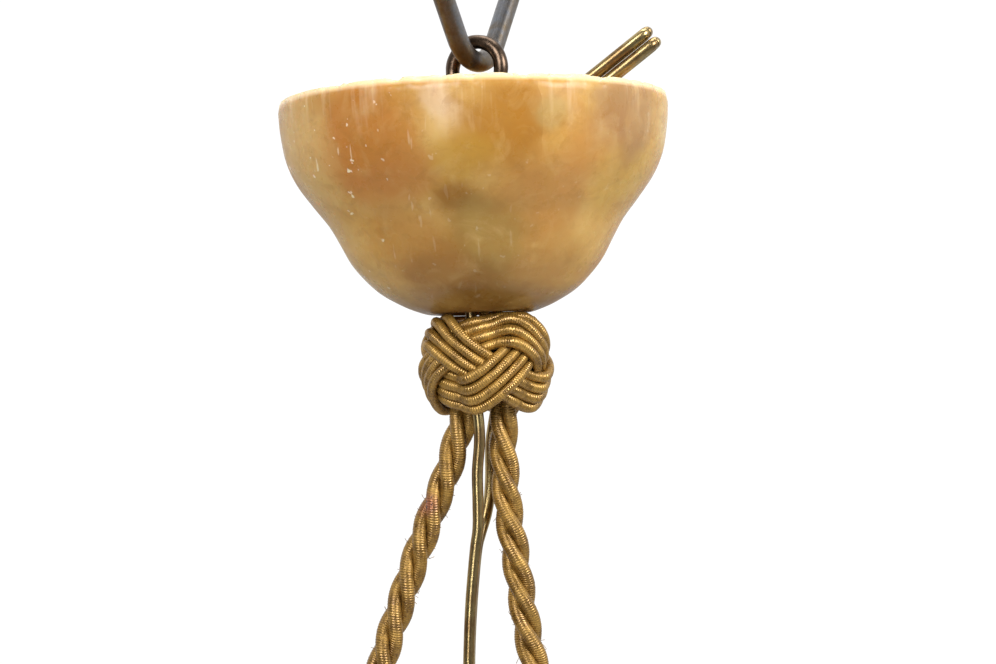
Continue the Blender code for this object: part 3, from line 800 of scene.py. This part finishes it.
def knot_layout(reach):
    """The cords laid out flat, by the way round and the distance along the skin, with phase and spacing."""
    plain = np.linspace(0, 2 * np.pi * KNOT_BIGHTS, KNOT_POINTS + 1)[:-1]
    round_per_wave = KNOT_LEADS / KNOT_BIGHTS
    wave = plain - KNOT_SKEW * np.cos(plain) ** 2
    middle = (KNOT_PLIES - 1) / 2
    swing = reach - KNOT_BIGHT_PITCH * middle
    flat = np.stack([plain * round_per_wave * KNOT_RADIUS, swing * np.cos(wave)], axis=1)
    slope = -swing * np.sin(wave) * (1 + KNOT_SKEW * np.sin(2 * plain))
    ahead = normalized(np.stack([np.full(KNOT_POINTS, round_per_wave * KNOT_RADIUS), slope], axis=1))
    aside = np.stack([-ahead[:, 1], ahead[:, 0]], axis=1)
    pitch = KNOT_PASS_PITCH + (KNOT_BIGHT_PITCH - KNOT_PASS_PITCH) * np.cos(wave) ** 2
    place = np.stack([flat + aside * (pitch * (k - middle))[:, None] for k in range(KNOT_PLIES)])
    return place, wave, pitch


def knot_crossings(place, wave):
    """The points where cords pass over others, those under them, and how far apart each two have to be."""
    phase = np.broadcast_to(np.degrees(wave) % 360, place.shape[:2]).ravel()
    points = place.reshape(-1, 2)
    girth = 2 * np.pi * KNOT_RADIUS
    apart_x = points[:, 0][:, None] - points[:, 0][None]
    apart_x -= girth * np.round(apart_x / girth)
    apart = np.hypot(apart_x, points[:, 1][:, None] - points[:, 1][None])
    falling = phase < 180
    first, second = np.nonzero((apart < GIMP) & falling[:, None] & ~falling[None])
    top_row = (phase[second] - phase[first]) > 180
    over = np.where(top_row, first, second)
    under = np.where(top_row, second, first)
    wanted = np.sqrt(np.maximum((GIMP * KNOT_TOUCH) ** 2 - apart[first, second] ** 2, 0))
    return over, under, wanted


def knot_lift(place, wave):
    """How far each point stands off the skin when the cords lie on each other, pulled tight."""
    over, under, wanted = knot_crossings(place, wave)
    lift = np.zeros(place.shape[:2])
    for _ in range(LIFT_ROUNDS):
        for _ in range(3):                                      # stiffness keeps the bends wide
            near = (np.roll(lift, 1, 1) + np.roll(lift, -1, 1)) / 2
            far = (np.roll(lift, 2, 1) + np.roll(lift, -2, 1)) / 2
            lift = lift + STIFFNESS * ((4 * near - far) / 3 - lift)
        flat_lift = lift.ravel() * TIGHTNESS
        missing = np.maximum(wanted - (flat_lift[over] - flat_lift[under]), 0) / 2
        push = np.zeros(lift.size)
        np.maximum.at(push, over, missing)
        pull = np.zeros(lift.size)
        np.maximum.at(pull, under, missing)
        lift = (flat_lift + GIVE * (push - pull)).reshape(lift.shape)
    for _ in range(5):
        lift = (np.roll(lift, 1, 1) + 2 * lift + np.roll(lift, -1, 1)) / 4
    return lift


def knot_lines():
    """The knot's parallel cords: a three-lead, four-bight Turk's head, lifted apart where they cross."""
    skin = knot_skin()
    place, wave, pitch = knot_layout(skin[0][-1])
    lift = knot_lift(place, wave)
    turn = place[:, :, 0] / KNOT_RADIUS + math.radians(KNOT_START)
    r, z, out_r, out_z = (np.interp(place[:, :, 1], skin[0], values) for values in skin[1:])
    r = r + lift * out_r
    highest = -CUP_HEIGHT - pitch / 2 - KNOT_CLEAR              # the cup's foot presses them flat
    z = np.minimum(z + lift * out_z, highest)
    return np.stack([r * np.sin(turn), -r * np.cos(turn), z], axis=-1) + DROP_ORIGIN, pitch


def make_knot(material):
    sheets = Sheets()
    lines, pitch = knot_lines()
    for k, line in enumerate(lines):
        line = even_path(smooth_path(line, 0.25, closed=True), CORD_STEP, closed=True)
        thickness = np.interp(np.linspace(0, KNOT_POINTS, len(line)), np.arange(KNOT_POINTS + 1),
                              np.append(pitch, pitch[0])) / 2
        radius = ribbed_radius(line, thickness, RIB, 0.010, 50 + k)
        sheets.tube(line, radius, 12, closed=True, tilt=RIB_TILT)
    return finish_piece(sheets.make("knot_cord"), material, "drop", "gold_gimp", "turks_head_knot")


CORE_PROFILE = [            # height below the rim and radius, down the outside and up the bore
    (-28.2, 5.25), (-30.8, 5.35), (-33.4, 5.4), (-36.0, 5.35), (-38.6, 5.25),
    (-38.6, 5.1), (-37.2, 4.75), (-28.55, 4.75), (-28.2, 5.1),
]
CORE_SIDES = 64


def make_core(material):
    """Slimmer than its CAD solid, which gives the cords' under layer more room."""
    rows = np.array(CORE_PROFILE)
    heights, radii = (np.repeat(rows[:, k][:, None], CORE_SIDES, 1) for k in (0, 1))
    obj = turned("core_turned", radii, heights, DROP_ORIGIN)
    return finish_piece(obj, material, "drop", "core_wood", "knot_core")


# ---------------------------------------------------------------- brass wire

def eye_point(along, side, turn):
    rise = math.radians(EYE_RISE)
    down = EYE_TURN_PITCH * turn
    return (EYE_START[0] + along * math.cos(rise) + down * math.sin(rise), side * EYE_HALF_WIDTH,
            EYE_START[1] + along * math.sin(rise) - down * math.cos(rise))


def eye_bend(end, turn, next_turn):
    centre = EYE_LENGTH - EYE_HALF_WIDTH if end > 0 else EYE_HALF_WIDTH
    parts = np.linspace(0, 1, 7)
    return [eye_point(centre + end * EYE_HALF_WIDTH * math.sin(math.pi * part), -end * math.cos(math.pi * part),
                      turn + (next_turn - turn) * part) for part in parts]


def make_wire(material):
    half_way = EYE_LENGTH / 2
    route = LEG_A + [eye_point(half_way, -1, 0)] + eye_bend(1, 0, 0) + [eye_point(half_way, 1, 0)]
    route += eye_bend(-1, 0, 1) + [eye_point(half_way, -1, 1)] + eye_bend(1, 1, 1)
    route += [eye_point(half_way, 1, 1), eye_point(3.6, 1, 1)] + LEG_B
    line = even_path(smooth_path(in_drop(route), 0.4), 0.35)
    sheets = Sheets()
    sheets.rounded(line, WIRE / 2, 18, 4)
    return finish_piece(sheets.make("wire_brass"), material, "drop", "brass", "brass_wire")


# ---------------------------------------------------------------- tails

WHIPPING_THREAD = 0.42
WHIPPING_TURNS = 11
WHIPPING_START = 0.3        # from the rope's end to the first turn
TUFT_THREADS = 96
TUFT_POINTS = 12            # of each thread
GOLDEN_ANGLE = 2.399963     # radians from one thread to the next, which spreads them evenly

def make_tail(side, route, rope_material, thread_material, phase, seed):
    body = side + "_tail"
    path = in_drop(route)
    sheets = Sheets()
    line = laid_rope(sheets, path, seed=seed, phase=phase)
    add_fuzz(sheets, line, FUZZ_COUNT[side], seed + 30)
    rope = finish_piece(sheets.make("tail_rope_" + side), rope_material, body, "gold_rope", "rope_tail_" + side)
    end, down = line[-1], tangents(line)[-1]
    whipping = make_whipping(side, end, down, thread_material, body)
    tuft = make_tuft(side, end, down, rope_material, body, seed + 7)
    return rope


def make_whipping(side, end, down, material, body):
    """One thread wound tightly round the rope's end, each turn against the last."""
    across = normalized(np.cross(down, (0, 1, 0)))
    over = np.cross(down, across)
    angle = np.linspace(0, 2 * np.pi * WHIPPING_TURNS, WHIPPING_TURNS * 28)
    rise = (angle / (2 * np.pi)) * WHIPPING_THREAD * 1.02 + WHIPPING_START
    radius = ROPE / 2 + WHIPPING_THREAD * 0.62 + 0.03 * np.sin(angle * 0.37)
    path = (end - down[None] * rise[:, None]
            + radius[:, None] * (across[None] * np.cos(angle)[:, None] + over[None] * np.sin(angle)[:, None]))
    sheets = Sheets()
    sheets.rounded(path, WHIPPING_THREAD / 2, 8, 2)
    return finish_piece(sheets.make("whipping_thread_" + side), material, body, "whipping_thread",
                        "tail_whipping_" + side)


def make_tuft(side, end, down, material, body, seed):
    """Loose thread ends, fanned out below the whipping."""
    random = np.random.default_rng(seed)
    across = normalized(np.cross(down, (0, 1, 0)))
    over = np.cross(down, across)
    sheets = Sheets()
    for k in range(TUFT_THREADS):
        out = math.sqrt((k + 0.5) / TUFT_THREADS)
        angle = k * GOLDEN_ANGLE
        radial = across * math.cos(angle) + over * math.sin(angle)
        around = np.cross(down, radial)
        length = TUFT_LENGTH * random.uniform(0.82, 1.0)
        t = np.linspace(0, 1, TUFT_POINTS)[:, None]
        spread = 1.35 * out + (1.5 * out + random.uniform(-0.2, 0.25)) * t ** 1.6
        sway = random.uniform(-0.5, 0.5) * np.sin(t * random.uniform(2.5, 5.0))
        path = end + down * (-0.4 + t * (length + 0.4)) + radial * spread + around * sway
        radius = np.linspace(0.19, 0.13, TUFT_POINTS) * random.uniform(0.85, 1.1)
        sheets.rounded(path, radius, 6, 1)
    return finish_piece(sheets.make("tuft_threads_" + side), material, body, "gold_rope", "tail_tuft_" + side)


# ---------------------------------------------------------------- studio

CAMERA_DISTANCE = 300.0
CAMERA_AIM = (1.69, 0.0, -29.75)       # in the drop's own frame
CAMERA_BELOW_RIM = 38.96
CAMERA_ROLL = 1.8
CAMERA_LENS = 84.1
SENSOR_WIDTH = 36
FLOOR_BELOW = 0.25                      # metres from the tufts down to the floor that the ornament hangs over
FLOOR_SIZE = 0.9


def make_camera():
    data = bpy.data.cameras.new("camera")
    data.lens = CAMERA_LENS
    data.sensor_width = SENSOR_WIDTH
    camera = bpy.data.objects.new("camera", data)
    bpy.context.scene.collection.objects.link(camera)
    aim = Vector(in_drop([CAMERA_AIM])[0] * MM)
    place = Vector((aim.x, -CAMERA_DISTANCE * MM, (DROP_ORIGIN[2] - CAMERA_BELOW_RIM) * MM))
    camera.location = place
    turn = (aim - place).to_track_quat("-Z", "Y").to_matrix().to_4x4()
    camera.rotation_euler = (turn @ Matrix.Rotation(math.radians(-CAMERA_ROLL), 4, "Z")).to_euler()
    bpy.context.scene.camera = camera


# Name, place, the place it points at, width and height, all in metres, then watts and the spread in degrees.
LIGHTS = [
    ("key", (-0.16, -0.36, 0.14), (0, 0, -0.05), (0.24, 0.18), 0.50, 100),
    ("fill", (0.34, -0.24, 0.10), (0, 0, -0.06), (0.20, 0.20), 0.75, 100),
    ("strip", (-0.13, -0.40, -0.10), (0, 0, -0.08), (0.05, 0.30), 0.14, 100),
    ("top", (0.02, 0.05, 0.34), (0, 0, -0.04), (0.26, 0.26), 0.2, 80),
]


def make_light(name, place, aim, size, watts, spread):
    data = bpy.data.lights.new(name, "AREA")
    data.shape = "RECTANGLE"
    data.size, data.size_y = size
    data.energy = watts
    data.spread = math.radians(spread)
    light = bpy.data.objects.new(name, data)
    light.location = place
    light.rotation_euler = (Vector(aim) - Vector(place)).to_track_quat("-Z", "Y").to_euler()
    bpy.context.scene.collection.objects.link(light)


def make_world():
    """White to the camera. To the object, dark on the camera's side and below, so that it has shaded parts."""
    world = bpy.data.worlds.new("studio")
    bpy.context.scene.world = world
    world.use_nodes = True
    n = Tree(world.node_tree)
    n.tree.nodes.clear()
    shown = n.add("Background")
    shown.inputs["Color"].default_value = (1, 1, 1, 1)
    shown.inputs["Strength"].default_value = 1.05
    lit = n.add("Background")
    _, y, z = n.split(n.add("TexCoord").outputs["Generated"])
    from_front = n.math("MULTIPLY_ADD", y, 0.5, 0.5)
    n.join(n.ramp(from_front, (0.31, (0.05, 0.05, 0.052)), (0.58, 0.95)), lit.inputs["Color"])
    height = n.add("MapRange")
    for value, socket in zip((-0.7, 0.25, 0.12, 1.0), height.inputs[1:5]):
        socket.default_value = value
    n.join(z, height.inputs[0])
    n.join(height.outputs[0], lit.inputs["Strength"])
    mix = n.add("MixShader")
    n.join(n.add("LightPath").outputs["Is Camera Ray"], mix.inputs["Fac"])
    n.join(lit.outputs[0], mix.inputs[1])
    n.join(shown.outputs[0], mix.inputs[2])
    n.join(mix.outputs[0], n.add("OutputWorld").inputs["Surface"])


def make_floor():
    bpy.ops.mesh.primitive_plane_add(size=FLOOR_SIZE, location=(0, 0, cad_box[0].z - FLOOR_BELOW))
    floor = bpy.context.object
    floor.name = "floor"
    n = Surface("floor")
    grain = n.noise(n.place(), 30, 3)
    n.to("Base Color", n.ramp(grain, (0.3, 0.74), (0.7, 0.78)))
    n.set(Roughness=0.9)
    floor.data.materials.append(n.material)


def main():
    make_camera()
    make_world()
    for light in LIGHTS:
        make_light(*light)
    bpy.context.scene.view_settings.view_transform = "Standard"
    make_floor()
    rope = gimp("gold_rope", (0.44, 0.25, 0.046), (0.12, 0.054, 0.011), gloss=0.32, worn=True)
    cord = gimp("gold_gimp", (0.48, 0.275, 0.052), (0.13, 0.06, 0.012), gloss=0.24)
    thread = gimp("whipping_thread", (0.36, 0.18, 0.04), (0.15, 0.07, 0.014), gloss=0.36)
    make_hook(metal("hook_steel", (0.23, 0.25, 0.285), (0.17, 0.12, 0.062), 0.5, (0.26, 0.42), drawn=0.5))
    make_ring(metal("ring_bronze", (0.17, 0.115, 0.078), (0.06, 0.042, 0.03), 0.5, (0.2, 0.42), pits=0.8))
    make_cup(onyx())
    make_loop(cord)
    make_bight(rope)
    make_knot(cord)
    make_wire(metal("brass", (0.56, 0.44, 0.20), (0.27, 0.17, 0.075), 0.5, (0.24, 0.36), drawn=0.15, spots=0.1))
    make_tail("left", TAIL_LEFT, rope, thread, 0.4, 70)
    make_tail("right", TAIL_RIGHT, rope, thread, 2.2, 80)
    make_core(wood())


main()
